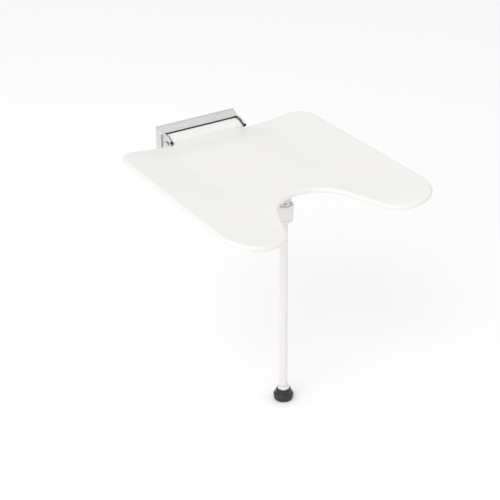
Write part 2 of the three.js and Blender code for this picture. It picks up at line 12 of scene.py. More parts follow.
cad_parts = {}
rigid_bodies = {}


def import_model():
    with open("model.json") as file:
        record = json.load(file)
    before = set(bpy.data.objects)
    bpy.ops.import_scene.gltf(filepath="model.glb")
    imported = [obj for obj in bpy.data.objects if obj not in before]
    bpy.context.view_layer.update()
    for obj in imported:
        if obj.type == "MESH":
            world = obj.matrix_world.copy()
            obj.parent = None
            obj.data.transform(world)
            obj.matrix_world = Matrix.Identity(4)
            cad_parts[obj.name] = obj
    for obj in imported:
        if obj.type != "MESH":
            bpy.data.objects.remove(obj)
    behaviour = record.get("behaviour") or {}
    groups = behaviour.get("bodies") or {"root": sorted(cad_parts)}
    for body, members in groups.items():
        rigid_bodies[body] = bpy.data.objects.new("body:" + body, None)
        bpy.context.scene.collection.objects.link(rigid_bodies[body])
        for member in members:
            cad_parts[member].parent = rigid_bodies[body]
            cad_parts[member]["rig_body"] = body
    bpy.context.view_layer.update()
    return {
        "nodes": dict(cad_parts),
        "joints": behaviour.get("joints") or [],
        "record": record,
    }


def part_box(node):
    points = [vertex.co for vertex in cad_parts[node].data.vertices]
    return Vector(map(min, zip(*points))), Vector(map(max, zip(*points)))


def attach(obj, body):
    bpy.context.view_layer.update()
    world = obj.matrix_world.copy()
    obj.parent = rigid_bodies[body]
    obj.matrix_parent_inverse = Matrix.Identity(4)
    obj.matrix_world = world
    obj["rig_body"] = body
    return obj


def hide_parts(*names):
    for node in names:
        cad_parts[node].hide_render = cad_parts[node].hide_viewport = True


bl_info = {
    "name": "Folding Shower Seat",
    "version": (1, 0, 0),
    "blender": (4, 5, 0),
    "location": "3D View > Sidebar > Shower Seat",
    "description": "Builds the visible pieces of a wall-hung folding shower seat around its frame",
    "category": "Object",
}

MM = 0.001
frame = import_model()
JOINTS = {j["name"]: j for j in frame["joints"]}
AXIS = Vector(JOINTS["seat_fold"]["pos_m"])
PIVOT = Vector(JOINTS["leg_fold"]["pos_m"])
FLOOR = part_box("rubber_foot")[0].z


# ---- settings that a user would change ------------------------------------------------------

class SeatSettings(PropertyGroup):
    edge_radius: FloatProperty(
        name="Edge radius", description="Radius of the full-round edge, half the seat's thickness",
        default=5.5 * MM, unit="LENGTH")
    crease_x: FloatProperty(
        name="Crease", description="Distance of each lengthwise crease from the middle",
        default=115 * MM, unit="LENGTH")
    crease_softness: FloatProperty(
        name="Crease softness", description="Size of the rounding where a wing meets the middle",
        default=1.4 * MM, unit="LENGTH")
    crown: FloatProperty(
        name="Crown", description="Height of the middle above the creases",
        default=2.5 * MM, unit="LENGTH")
    wing_rise: FloatProperty(
        name="Wing rise", description="Height of the outer edges above the creases",
        default=12 * MM, unit="LENGTH")
    tongue_radius: FloatProperty(
        name="Tongue edge", description="Rounding of the edge that meets the barrel",
        default=1.5 * MM, unit="LENGTH")


class FinishSettings(PropertyGroup):
    seat: FloatVectorProperty(
        name="Seat", description="Colour of the moulded seat", subtype="COLOR",
        default=(0.83, 0.82, 0.797), min=0, max=1)
    coat: FloatVectorProperty(
        name="Coat", description="Colour of the powder-coated leg and arms", subtype="COLOR",
        default=(0.83, 0.805, 0.795), min=0, max=1)
    chrome: FloatVectorProperty(
        name="Chrome", description="Colour of the plated bracket", subtype="COLOR",
        default=(0.70, 0.705, 0.71), min=0, max=1)
    steel: FloatVectorProperty(
        name="Steel", description="Colour of the bare steel pieces", subtype="COLOR",
        default=(0.52, 0.525, 0.53), min=0, max=1)
    # The rubber colour also colours the black strip behind the cover's lip, which paints the shade of the
    # gap there.
    rubber: FloatVectorProperty(
        name="Rubber", description="Colour of the foot, seals and buffers", subtype="COLOR",
        default=(0.016, 0.016, 0.017), min=0, max=1)
    plastic: FloatVectorProperty(
        name="Bearing plastic", description="Colour of the bushes and brake rings", subtype="COLOR",
        default=(0.018, 0.018, 0.02), min=0, max=1)


class StageSettings(PropertyGroup):
    azimuth: FloatProperty(
        name="Azimuth", description="Side that the camera stands on", subtype="ANGLE",
        default=math.radians(-32.5))
    elevation: FloatProperty(
        name="Elevation", description="Height of the camera above the horizon", subtype="ANGLE",
        default=math.radians(28.5))
    distance: FloatProperty(
        name="Distance", description="From the camera to the point it faces",
        default=2.4856, unit="LENGTH")
    lens: FloatProperty(name="Lens", description="Focal length in millimetres", default=102.96)
    key_power: FloatProperty(
        name="Key light", description="Power of the large light on the left",
        default=42, unit="POWER")
    horizon: FloatProperty(
        name="Horizon", description="Brightness low in the room against overhead",
        default=0.68, min=0, max=1)
    world: FloatProperty(name="Surroundings", description="Brightness of the room", default=1.03, min=0)


# ---- shader maths ---------------------------------------------------------------------------

class Sock:
    """A node socket that takes part in Python expressions and adds the Math nodes they need."""

    def __init__(self, tree, socket):
        self.tree = tree
        self.socket = socket

    def _math(self, operation, *values):
        return self.tree.node("ShaderNodeMath", {"operation": operation}, dict(enumerate(values)))

    def __add__(self, other):
        return self._math("ADD", self, other)

    def __radd__(self, other):
        return self._math("ADD", other, self)

    def __sub__(self, other):
        return self._math("SUBTRACT", self, other)

    def __rsub__(self, other):
        return self._math("SUBTRACT", other, self)

    def __mul__(self, other):
        return self._math("MULTIPLY", self, other)

    def __rmul__(self, other):
        return self._math("MULTIPLY", other, self)


class Tree:
    """A node tree and the one method that adds nodes to it."""

    def __init__(self, owner):
        owner.use_nodes = True
        self.nodes = owner.node_tree.nodes
        self.links = owner.node_tree.links

    def feed(self, socket, value):
        if isinstance(value, Sock):
            self.links.new(value.socket, socket)
        else:
            socket.default_value = value

    def node(self, kind, settings, inputs, output=0):
        made = self.nodes.new(kind)
        for name, value in settings.items():
            if name == "stops":
                for element, (position, tone) in zip(made.color_ramp.elements, value):
                    element.position = position
                    element.color = (tone, tone, tone, 1)
            else:
                setattr(made, name, value)
        for name, value in inputs.items():
            self.feed(made.inputs[name], value)
        return Sock(self, made.outputs[output])

    def ramp(self, value, low, high, tones=(0.0, 1.0)):
        stops = [(low, tones[0]), (high, tones[1])]
        return self.node("ShaderNodeValToRGB", {"stops": stops}, {"Fac": value})


class Finish(Tree):
    """A procedural material: a Principled surface and the nodes that feed it."""

    def __init__(self, name, color, roughness, metallic=0.0, **constants):
        self.material = bpy.data.materials.new(name)
        super().__init__(self.material)
        self.surface = self.nodes["Principled BSDF"]
        self.color = tuple(color)
        self.set("Base Color", (*color, 1))
        self.set("Roughness", roughness)
        self.set("Metallic", metallic)
        for socket, value in constants.items():
            self.set(socket.replace("_", " "), value)
        self.place = self.node("ShaderNodeTexCoord", {}, {}, "Object")

    def set(self, name, value):
        self.feed(self.surface.inputs[name], value)

    def stretched(self, scale):
        return self.node("ShaderNodeMapping", {}, {"Vector": self.place, "Scale": scale})

    def noise(self, scale, detail=3.0, roughness=0.55, vector=None):
        inputs = {"Vector": vector or self.place, "Scale": scale, "Detail": detail, "Roughness": roughness}
        return self.node("ShaderNodeTexNoise", {}, inputs, "Fac")

    def tint(self, mask, other):
        """Base colour that moves towards another colour where the mask is high."""
        mix = {"data_type": "RGBA", "blend_type": "MIX"}
        inputs = {0: mask, 6: (*self.color, 1), 7: (*other, 1)}
        self.set("Base Color", self.node("ShaderNodeMix", mix, inputs, 2))

    def bump(self, height, strength, distance):
        inputs = {"Height": height, "Strength": strength, "Distance": distance}
        self.set("Normal", self.node("ShaderNodeBump", {}, inputs, "Normal"))


def shaded(color, factor):
    return tuple(c * factor for c in color)


def seat_finish(colors):
    """Glossy moulded plastic: a fine sheen, faint flow clouds and a few soft wipe marks."""
    f = Finish("moulded_white", colors.seat, 0.3, IOR=1.47, Coat_Roughness=0.12)
    clouds = f.noise(9, detail=2)
    grain = f.noise(1500, detail=2)
    wipes = f.ramp(f.noise(38, detail=4, vector=f.stretched((1, 0.25, 1))), 0.52, 0.72)
    f.tint(clouds * 0.22, shaded((colors.seat[0], colors.seat[1] * 1.002, colors.seat[2] * 0.985), 0.955))
    f.set("Roughness", 0.26 + clouds * 0.06 + grain * 0.05 + wipes * 0.05)
    f.set("Coat Weight", 0.25 + clouds * 0.15)
    f.bump(grain + f.noise(260, detail=2) * 0.6, 0.12, 0.00012)
    return f.material


def coat_finish(colors):
    """Satin powder coat with its fine orange-peel surface."""
    f = Finish("powder_coat_white", colors.coat, 0.34, Coat_Roughness=0.2)
    peel = f.noise(720, detail=2)
    clouds = f.noise(22, detail=3)
    f.tint(clouds * 0.3, shaded(colors.coat, 0.94))
    f.set("Roughness", 0.28 + peel * 0.1 + clouds * 0.06)
    f.set("Coat Weight", 0.2 + clouds * 0.1)
    f.bump(peel, 0.25, 0.00018)
    return f.material


def chrome_finish(colors):
    """Satin chrome plating with a faint lengthwise polish and water marks."""
    f = Finish("satin_chrome", colors.chrome, 0.16, 1.0)
    polish = f.noise(60, detail=5, roughness=0.7, vector=f.stretched((1, 30, 30)))
    marks = f.ramp(f.noise(85, detail=3), 0.5, 0.75)
    f.tint(marks * 0.25, shaded(colors.chrome, 0.86))
    f.set("Roughness", 0.13 + polish * 0.1 + marks * 0.06)
    f.bump(polish, 0.1, 0.00006)
    return f.material


def steel_finish(colors):
    """Bare stainless steel, lightly brushed, duller in patches."""
    f = Finish("brushed_steel", colors.steel, 0.3, 1.0)
    brush = f.noise(90, detail=5, roughness=0.7, vector=f.stretched((1, 24, 24)))
    dull = f.noise(45, detail=4)
    f.tint(dull * 0.5, shaded(colors.steel, 0.74))
    f.set("Roughness", 0.24 + brush * 0.16 + dull * 0.1)
    f.bump(brush, 0.15, 0.00008)
    return f.material


def rubber_finish(colors):
    """Satin moulded rubber with a fine skin and slightly dusty patches."""
    f = Finish("black_rubber", colors.rubber, 0.42, Specular_IOR_Level=0.55)
    skin = f.noise(1100, detail=3)
    dust = f.ramp(f.noise(70, detail=5), 0.5, 0.8)
    f.tint(dust * 0.35, (0.06, 0.06, 0.062))
    f.set("Roughness", 0.34 + skin * 0.12 + dust * 0.16)
    f.bump(skin + dust * 0.4, 0.3, 0.00015)
    return f.material


def plastic_finish(colors):
    """Matt bearing plastic with fine turning marks."""
    f = Finish("bearing_plastic", colors.plastic, 0.5)
    lines = f.noise(300, detail=3, vector=f.stretched((8, 1, 1)))
    f.tint(lines * 0.4, (0.035, 0.035, 0.038))
    f.set("Roughness", 0.42 + lines * 0.18)
    f.bump(lines, 0.2, 0.0001)
    return f.material


FINISHES = {
    "seat_white": seat_finish,
    "coat_white": coat_finish,
    "chrome": chrome_finish,
    "steel": steel_finish,
    "black_rubber": rubber_finish,
    "black_plastic": plastic_finish,
}
made_finishes = {}


def finish_for(slot):
    if slot not in made_finishes:
        made_finishes[slot] = FINISHES[slot](bpy.context.scene.shower_finishes)
    return made_finishes[slot]


# ---- mesh building --------------------------------------------------------------------------

def points_on_arc(cy, cz, radius, start, end, steps):
    """Points about (cy, cz), with angles in degrees from +Y towards +Z."""
    angles = [math.radians(start + (end - start) * i / steps) for i in range(steps + 1)]
    return [(cy + radius * math.cos(a), cz + radius * math.sin(a)) for a in angles]


def side_prism(outline, x0, x1):
    """A closed side-view outline of (y, z) points, extruded along X."""
    bm = bmesh.new()
    face = bm.faces.new([bm.verts.new((x0, y, z)) for y, z in outline])
    made = bmesh.ops.extrude_face_region(bm, geom=[face])
    moved = [g for g in made["geom"] if isinstance(g, bmesh.types.BMVert)]
    bmesh.ops.translate(bm, verts=moved, vec=(x1 - x0, 0, 0))
    bmesh.ops.recalc_face_normals(bm, faces=bm.faces[:])
    return bm


def block(low, high):
    """A box between two corners."""
    bm = bmesh.new()
    low, high = Vector(low), Vector(high)
    size = Matrix.Diagonal((*(high - low), 1))
    bmesh.ops.create_cube(bm, size=1, matrix=Matrix.Translation((low + high) / 2) @ size)
    return bm


def turned(profile, centre, along="Z", steps=64):
    """A profile of (radius, height) points spun about an axis through centre."""
    bm = bmesh.new()
    verts = [bm.verts.new((r, 0, h)) for r, h in profile]
    edges = [bm.edges.new(pair) for pair in zip(verts, verts[1:])]
    if profile[0][0] > 0 and profile[-1][0] > 0:
        edges.append(bm.edges.new((verts[-1], verts[0])))
    bmesh.ops.spin(bm, geom=verts + edges, cent=(0, 0, 0), axis=(0, 0, 1), angle=math.tau,
                   steps=steps, use_merge=True, use_duplicate=False)
    bmesh.ops.remove_doubles(bm, verts=bm.verts[:], dist=1e-6)
    if along == "X":
        bmesh.ops.rotate(bm, verts=bm.verts[:], cent=(0, 0, 0), matrix=Matrix.Rotation(math.pi / 2, 3, "Y"))
    bmesh.ops.translate(bm, verts=bm.verts[:], vec=centre)
    bmesh.ops.recalc_face_normals(bm, faces=bm.faces[:])
    return bm


def rod(radius, low, high, centre, along="Z", steps=48, edge=0.0):
    """A round bar with small chamfers; low and high are measured along its axis."""
    profile = [(0, low), (radius - edge, low), (radius, low + edge), (radius, high - edge),
               (radius - edge, high), (0, high)]
    if not edge:
        profile = [(0, low), (radius, low), (radius, high), (0, high)]
    return turned(profile, centre, along, steps)


def round_edges(bm, width, segments=3, limit=35, wanted=None):
    """Rounds the edges whose faces meet at more than the limit, in degrees."""
    bm.normal_update()
    edges = [e for e in bm.edges if len(e.link_faces) == 2
             and e.calc_face_angle(0) > math.radians(limit) and (wanted is None or wanted(e))]
    if edges:
        bmesh.ops.bevel(bm, geom=edges, offset=width, offset_type="OFFSET", segments=segments,
                        profile=0.5, affect="EDGES", material=-1, clamp_overlap=True)
    return bm


def mirrored(bm):
    """The same shape on the other side of the object."""
    copy = bm.copy()
    bmesh.ops.scale(copy, vec=(-1, 1, 1), verts=copy.verts[:])
    bmesh.ops.recalc_face_normals(copy, faces=copy.faces[:])
    return copy


def to_object(name, bm):
    mesh = bpy.data.meshes.new(name)
    bm.to_mesh(mesh)
    bm.free()
    obj = bpy.data.objects.new(name, mesh)
    bpy.context.scene.collection.objects.link(obj)
    return obj


def combine(bm, tools, operation):
    """Joins or cuts a shape with others and gives the result as one shape."""
    obj = to_object("work", bm)
    helpers = [to_object("tool", tool) for tool in tools]
    for helper in helpers:
        modifier = obj.modifiers.new("combine", "BOOLEAN")
        modifier.operation = operation
        modifier.solver = "EXACT"
        modifier.object = helper
    graph = bpy.context.evaluated_depsgraph_get()
    result = bmesh.new()
    result.from_mesh(obj.evaluated_get(graph).to_mesh())
    for spent in [obj, *helpers]:
        mesh = spent.data
        bpy.data.objects.remove(spent)
        bpy.data.meshes.remove(mesh)
    bmesh.ops.remove_doubles(result, verts=result.verts[:], dist=2e-6)
    return result


def joined(bm, *others):
    return combine(bm, others, "UNION")


def cut(bm, *others):
    return combine(bm, others, "DIFFERENCE")


def piece(name, bm, node, slot=None, sharp=32):
    """Turns a shape into a finished piece that stands for a CAD node and rides on its body."""
    cad = frame["nodes"][node]
    slots = {s["node"]: s["material_slot"] for s in frame["record"]["subparts"]}
    slot = slot or slots[node]
    obj = to_object(name, bm)
    obj.data.polygons.foreach_set("use_smooth", [True] * len(obj.data.polygons))
    obj.data.set_sharp_from_angle(angle=math.radians(sharp))
    obj.data.materials.append(finish_for(slot))
    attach(obj, cad["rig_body"])
    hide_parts(node)
    return obj


def pair(name, bm, node, **options):
    """Both members of a left and right pair, from the right-hand shape."""
    piece(f"{name}_left", mirrored(bm), f"{node}_left", **options)
    piece(f"{name}_right", bm, f"{node}_right", **options)


# ---- the seat's shape -----------------------------------------------------------------------

def ease(t):
    t = min(max(t, 0.0), 1.0)
    return t * t * (3 - 2 * t)


SEAT_HALF_BACK = 225 * MM
SEAT_HALF_FRONT = 229 * MM
SEAT_BACK = -61 * MM
SEAT_SHOULDER = -72 * MM
BACK_CORNER = 45 * MM
TONGUE_BACK = -57.2 * MM
TONGUE_HALF = 84 * MM
SLOT_OUTER = 91.2 * MM
SLOT_SWEEP_R = 33.8 * MM
NOSE_X = 167 * MM
NOSE_Y = -485 * MM
NOSE_TIP = 76 * MM
MOUTH_Y = -511 * MM
MOUTH_WIDE = 62 * MM
MOUTH_DEEP = 50 * MM
CUTOUT_R = 84 * MM
CUTOUT_BACK = -397 * MM
CREASE_TOP = 38.5 * MM
SEAM_DROP = 6.4 * MM


def seat_middle(x, y, s):
    """Height of the seat's mid-surface: a crowned middle, two soft creases and rising wings."""
    a = abs(x)
    crown = s.crown * (1 - (a / s.crease_x) ** 2)
    wing = s.wing_rise * (a - s.crease_x) / (SEAT_HALF_BACK - s.crease_x)
    back = ease((y + 140 * MM) / (SEAT_BACK + 140 * MM))
    if a < s.crease_x:
        crown *= 1 - back
    blend = math.sqrt((crown - wing) ** 2 + s.crease_softness ** 2) - s.crease_softness
    height = (crown + wing + blend) / 2
    drop = SEAM_DROP * back * (1 - ease((a - 85 * MM) / (125 * MM)))
    return CREASE_TOP - s.edge_radius + height - drop


def seat_half_outline():
    """Plan of the seat's edge, from the middle of the back round to the middle of the cutout."""
    points = []
    corner_x = SEAT_HALF_BACK - BACK_CORNER
    for i in range(37):
        x = corner_x * i / 36
        points.append((x, SEAT_BACK + (SEAT_SHOULDER - SEAT_BACK) * ease((x - 95 * MM) / (85 * MM))))
    for i in range(1, 19):
        a = math.pi / 2 * (1 - i / 18)
        points.append((corner_x + BACK_CORNER * math.cos(a),
                       SEAT_SHOULDER - BACK_CORNER * (1 - math.sin(a))))
    side = SEAT_SHOULDER - BACK_CORNER
    for i in range(1, 56):
        t = i / 56
        points.append((SEAT_HALF_BACK + (SEAT_HALF_FRONT - SEAT_HALF_BACK) * t, side + (NOSE_Y - side) * t))
    for i in range(29):
        a = math.pi / 2 * i / 28
        points.append((NOSE_X + (SEAT_HALF_FRONT - NOSE_X) * math.cos(a), NOSE_Y - NOSE_TIP * math.sin(a)))
    for i in range(1, 23):
        a = math.radians(90 - 74.4 * i / 22)
        points.append((NOSE_X - MOUTH_WIDE * math.cos(a), MOUTH_Y - MOUTH_DEEP * math.sin(a)))
    last = points[-1]
    turn = math.radians(72.2)
    first = (CUTOUT_R * math.sin(turn), CUTOUT_BACK - CUTOUT_R * (1 - math.cos(turn)))
    for i in range(1, 12):
        t = i / 12
        points.append((last[0] + (first[0] - last[0]) * t, last[1] + (first[1] - last[1]) * t))
    for i in range(25):
        a = math.radians(72.2 * (1 - i / 24))
        points.append((CUTOUT_R * math.sin(a), CUTOUT_BACK - CUTOUT_R * (1 - math.cos(a))))
    return points


def moulded_seat(s):
    """The seat shell: a flat plan, inset in steps to a full-round edge, sliced and then draped."""
    half = seat_half_outline()
    outline = half + [(-x, y) for x, y in reversed(half[1:-1])]
    bm = bmesh.new()
    face = bm.faces.new([bm.verts.new((x, y, 0)) for x, y in reversed(outline)])
    face.normal_update()
    steps = 8
    angles = [math.pi / 2 * i / steps for i in range(steps + 1)]
    for a, b in zip(angles, angles[1:]):
        inset = s.edge_radius * (math.cos(a) - math.cos(b))
        rise = s.edge_radius * (math.sin(b) - math.sin(a))
        bmesh.ops.inset_region(bm, faces=[face], thickness=inset, depth=rise, use_even_offset=True,
                               use_boundary=True)
    top = s.edge_radius * 0.999
    cell = 11 * MM
    cuts = [((x * cell / 2, 0, 0), (1, 0, 0)) for x in range(-41, 42)]
    cuts += [((0, -64 * MM - y * cell, 0), (0, 1, 0)) for y in range(46)]
    for place, normal in cuts:
        faces = [f for f in bm.faces if all(v.co.z > top for v in f.verts)]
        geom = list({g for f in faces for g in (f, *f.edges, *f.verts)})
        bmesh.ops.bisect_plane(bm, geom=geom, dist=1e-6, plane_co=place, plane_no=normal)
    bmesh.ops.mirror(bm, geom=bm.verts[:] + bm.edges[:] + bm.faces[:], merge_dist=1e-5, axis="Z")
    bmesh.ops.recalc_face_normals(bm, faces=bm.faces[:])
    for v in bm.verts:
        v.co.z += seat_middle(v.co.x, v.co.y, s)
    bmesh.ops.triangulate(bm, faces=bm.faces[:])
    sweep = points_on_arc(AXIS.y, AXIS.z, SLOT_SWEEP_R, 115, 245, 41)
    slots = [side_prism(sweep, low, high)
             for low, high in [(TONGUE_HALF, SLOT_OUTER), (-SLOT_OUTER, -TONGUE_HALF)]]
    return joined(cut(bm, *slots), seat_tongue(s))


def seat_tongue(s):
    """Squares off the seat between the slots and carries its surface back to the barrel."""
    root = SEAT_BACK - 13 * MM
    thick = 10 * MM

    def top(y):
        return seat_middle(0, min(y, SEAT_BACK), s) + s.edge_radius - 0.02 * MM

    rows = [TONGUE_BACK, SEAT_BACK] + [SEAT_BACK + (root - SEAT_BACK) * i / 6 for i in range(1, 7)]
    outline = [(y, top(y)) for y in rows]
    outline += [(root, top(root) - thick), (TONGUE_BACK, top(TONGUE_BACK) - thick)]
    tongue = side_prism(outline, -TONGUE_HALF + 0.05 * MM, TONGUE_HALF - 0.05 * MM)
    return round_edges(tongue, s.tongue_radius, 3, 60, lambda e: max(v.co.y for v in e.verts) > SEAT_BACK)


class SHOWER_OT_seat(Operator):
    """Moulded seat shell with its cutout, creases and full-round edge"""
    bl_idname = "shower.seat"
    bl_label = "Seat shell"

    def execute(self, context):
        piece("moulded_seat", moulded_seat(context.scene.shower_seat), "seat_shell", sharp=50)
        return {"FINISHED"}


# ---- hinge ----------------------------------------------------------------------------------

BARREL_HALF = 81.5 * MM
BARREL_SKIRT = 84 * MM
BARREL_R = 28 * MM
BARREL_WALL = 2.5 * MM


def barrel_outline(inset):
    """Side view of the barrel: it carries on the seat's surface and wraps back over the axle."""
    rim = points_on_arc(AXIS.y, AXIS.z, BARREL_R - inset, 61.6, -12, 28)
    y0, z0 = TONGUE_BACK + 0.4 * MM, CREASE_TOP - SEAM_DROP - 0.3 * MM
    y1, z1 = rim[0]
    top = []
    for i in range(20):
        t = i / 20
        top.append((y0 + (y1 - y0) * t,
                    z0 - inset + (z1 - z0 + inset) * t + 3.2 * MM * math.sin(math.pi * t)))
    return top + rim


class SHOWER_OT_barrel(Operator):
    """White cover that turns with the seat over the hinge axle"""
    bl_idname = "shower.barrel"
    bl_label = "Hinge barrel"

    def execute(self, context):
        outer, inner = barrel_outline(0), barrel_outline(BARREL_WALL)
        shell = side_prism(outer + inner[::-1], -BARREL_SKIRT, BARREL_SKIRT)
        wall = outer + [(AXIS.y + 12 * MM, AXIS.z - 12 * MM), (AXIS.y - 14 * MM, AXIS.z - 12 * MM),
                        (TONGUE_BACK + 0.4 * MM, AXIS.z)]
        ends = [side_prism(wall, BARREL_HALF - 3 * MM, BARREL_HALF)]
        ends.append(mirrored(ends[0]))
        body = joined(shell, *ends)
        body = cut(body, rod(6.3 * MM, -0.1, 0.1, AXIS, "X"))
        round_edges(body, 0.6 * MM, 2, 50)
        piece("barrel_cover", body, "hinge_barrel")
        return {"FINISHED"}


# ---- bracket --------------------------------------------------------------------------------

BRACKET_HALF = 93 * MM
BRACKET_TOP = 50 * MM
BRACKET_FRONT = -20 * MM
COVER_WALL = 2.5 * MM
COVER_SIDE = 3.5 * MM
COVER_SCREW_XS = (-45 * MM, 45 * MM)
COVER_SCREW_Y = -10 * MM
COVER_HOLE_R = 2.4 * MM
CHEEK_IN = 86 * MM
CHEEK_OUT = 89 * MM
CHEEK_ARC = (-32 * MM, 5 * MM, 38.8 * MM)
CHEEK_FRONT = -55.2 * MM


def cover_outline(inset):
    """Side view of the cover, with its top and bottom rounding off towards the front."""
    drop = 9.6 * MM
    count = 14
    top = []
    for i in range(count + 1):
        t = i / count
        top.append((BRACKET_FRONT * t, BRACKET_TOP - inset - drop * t ** 2.35))
    return top + [(y, -z) for y, z in reversed(top)]


class SHOWER_OT_cover(Operator):
    """Chrome cover and the steel plate that it hides"""
    bl_idname = "shower.cover"
    bl_label = "Bracket cover"

    def execute(self, context):
        body = side_prism(cover_outline(0), -BRACKET_HALF, BRACKET_HALF)
        inner = cover_outline(COVER_WALL)
        through = [(y + (1 * MM if y > -0.1 * MM else 0) - (1 * MM if y < -19.9 * MM else 0), z)
                   for y, z in inner]
        round_edges(body, 1.6 * MM, 4, 50, lambda e: min(v.co.y for v in e.verts) < -0.1 * MM)
        hollow = side_prism(through, -BRACKET_HALF + COVER_SIDE, BRACKET_HALF - COVER_SIDE)
        holes = [rod(COVER_HOLE_R, -0.06, -0.03, (x, COVER_SCREW_Y, 0)) for x in COVER_SCREW_XS]
        # The notch holds the black strip that paints the shade in the gap between the cover's lip and the
        # barrel.
        shade_strip_low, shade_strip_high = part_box("barrel_wiper")
        rabbet = block((shade_strip_low.x - 0.3 * MM, BRACKET_FRONT - MM, shade_strip_low.z),
                       (shade_strip_high.x + 0.3 * MM, shade_strip_high.y + 0.3 * MM, 39.6 * MM))
        body = cut(body, hollow, rabbet, *holes)
        round_edges(body, 0.35 * MM, 2, 60)
        piece("chrome_cover", body, "housing_cover")

        plate_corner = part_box("wall_plate")[1]
        half_x, half_z = plate_corner.x, plate_corner.z
        plate = block((-half_x, -4 * MM, -half_z), (half_x, 0, half_z))
        round_edges(plate, 3 * MM, 4, 50, lambda e: abs(e.verts[0].co.y - e.verts[1].co.y) > MM)
        tabs = [block((x - 8 * MM, -15 * MM, -42.4 * MM), (x + 8 * MM, -3 * MM, -37.4 * MM))
                for x in COVER_SCREW_XS]
        plate = joined(plate, *tabs)
        turn = Matrix.Rotation(math.pi / 2, 3, "X")
        tools = [rod(COVER_HOLE_R, -0.06, -0.03, (x, COVER_SCREW_Y, 0)) for x in COVER_SCREW_XS]
        for x in (-70 * MM, 70 * MM):
            for z in (-30 * MM, 30 * MM):
                profile = [(0, -1 * MM), (4.2 * MM, -1 * MM), (4.2 * MM, 3 * MM),
                           (5.4 * MM, 5 * MM), (0, 5 * MM)]
                hole = turned(profile, (0, 0, 0), steps=40)
                bmesh.ops.rotate(hole, verts=hole.verts[:], cent=(0, 0, 0), matrix=turn)
                bmesh.ops.translate(hole, verts=hole.verts[:], vec=(x, 0, z))
                tools.append(hole)
        piece("back_plate", cut(plate, *tools), "wall_plate")
        for i, x in enumerate(COVER_SCREW_XS):
            screw = socket_screw((x, COVER_SCREW_Y, 0), 2.1 * MM, -49.6 * MM, -38 * MM, -1, head=0)
            piece(f"cover_grub_screw_{i + 1}", screw, f"cover_screw_{i + 1}")
        return {"FINISHED"}


def cheek_outline(inset):
    """Side view of a cheek: a rounded nose in front of the cover."""
    cy, cz, r = CHEEK_ARC
    r -= inset
    front = CHEEK_FRONT + inset

    def angle(y):
        return math.degrees(math.acos((y - cy) / r))

    nose = points_on_arc(cy, cz, r, angle(-20.3 * MM), angle(front), 32)
    lower = points_on_arc(AXIS.y, AXIS.z - 4 * MM, AXIS.y - front, 180, 250, 16)
    back = -4.3 * MM
    high = 36 * MM - inset
    return [(back, high), (-20.3 * MM, high), *nose, *lower, (-19.7 * MM, -high), (back, -high)]


class SHOWER_OT_cheeks(Operator):
    """Chrome end cheeks with their arc rims, and the caps over the axle's ends"""
    bl_idname = "shower.cheeks"
    bl_label = "End cheeks"

    def execute(self, context):
        plate = side_prism(cheek_outline(0), CHEEK_IN, CHEEK_OUT)
        rim = side_prism(cheek_outline(0), CHEEK_OUT - 0.5 * MM, CHEEK_OUT + 0.9 * MM)
        rim = cut(rim, side_prism(cheek_outline(3.5 * MM), CHEEK_OUT - MM, CHEEK_OUT + 2 * MM),
                  block((0.08, -20.3 * MM, -0.06), (0.1, 0.01, 0.06)),
                  block((0.08, -0.06, -0.06), (0.1, 0.01, 30.5 * MM)))
        cheek = cut(joined(plate, rim), rod(8.3 * MM, 0.08, 0.1, (0, AXIS.y, AXIS.z), "X"))
        round_edges(cheek, 0.4 * MM, 2, 50)
        pair("end_cheek", cheek, "side_cheek")
        low = CHEEK_OUT + 0.3 * MM
        profile = [(0, low), (14.6 * MM, low), (15 * MM, low + 0.4 * MM), (14.9 * MM, low + 0.9 * MM),
                   (14.3 * MM, low + 1.3 * MM), (13.2 * MM, low + 1.7 * MM), (11 * MM, low + 1.95 * MM),
                   (6 * MM, low + 2.08 * MM), (0, low + 2.1 * MM)]
        pair("hinge_cap", turned(profile, (0, AXIS.y, AXIS.z), "X", 80), "axle_cap")
        return {"FINISHED"}


class SHOWER_OT_seals(Operator):
    """Black seals round the barrel, the buffers that stop the seat, and a black strip that paints the shade
    in the gap behind the cover's lip
    """
    bl_idname = "shower.seals"
    bl_label = "Seals and buffers"

    def execute(self, context):
        cy, cz, r = CHEEK_ARC
        outer = points_on_arc(cy, cz, r - 0.3 * MM, 74, 127, 30)
        band = outer + points_on_arc(cy, cz, r - 1.6 * MM, 127, 74, 30)
        strip = side_prism(band, 84.5 * MM, CHEEK_IN - 0.3 * MM)
        front = block((84.5 * MM, CHEEK_FRONT - 5.1 * MM, 31 * MM),
                      (CHEEK_OUT + 0.9 * MM, CHEEK_FRONT - 0.3 * MM, 36.2 * MM))
        neck = block((84.5 * MM, CHEEK_FRONT - MM, 31 * MM),
                     (CHEEK_IN - 0.3 * MM, CHEEK_FRONT + 1.5 * MM, 35.6 * MM))
        pair("arc_seal", joined(strip, round_edges(front, 0.5 * MM), neck), "cheek_seal")

        # Black strip behind the cover's lip: painted shade, a dark sheet standing in for the shadowed gap
        # between the cover and the barrel.
        low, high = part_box("barrel_wiper")
        strip = block((low.x, BRACKET_FRONT, low.z), (high.x, high.y, 39.3 * MM))
        end = block((79.5 * MM, low.y, 36.2 * MM), (high.x, high.y - 0.2 * MM, 39.2 * MM))
        cap = block((79.5 * MM, low.y, 36.2 * MM), (high.x, BRACKET_FRONT - 0.3 * MM, high.z))
        shade_strip = joined(strip, end, cap, mirrored(end), mirrored(cap))
        piece("gap_shade_strip", round_edges(shade_strip, 0.2 * MM, 2, 60), "barrel_wiper")
        low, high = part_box("stop_buffer_right")
        pair("rubber_buffer", round_edges(block(low, high), 1.6 * MM, 4), "stop_buffer")
        return {"FINISHED"}


# ---- supports under the seat ----------------------------------------------------------------

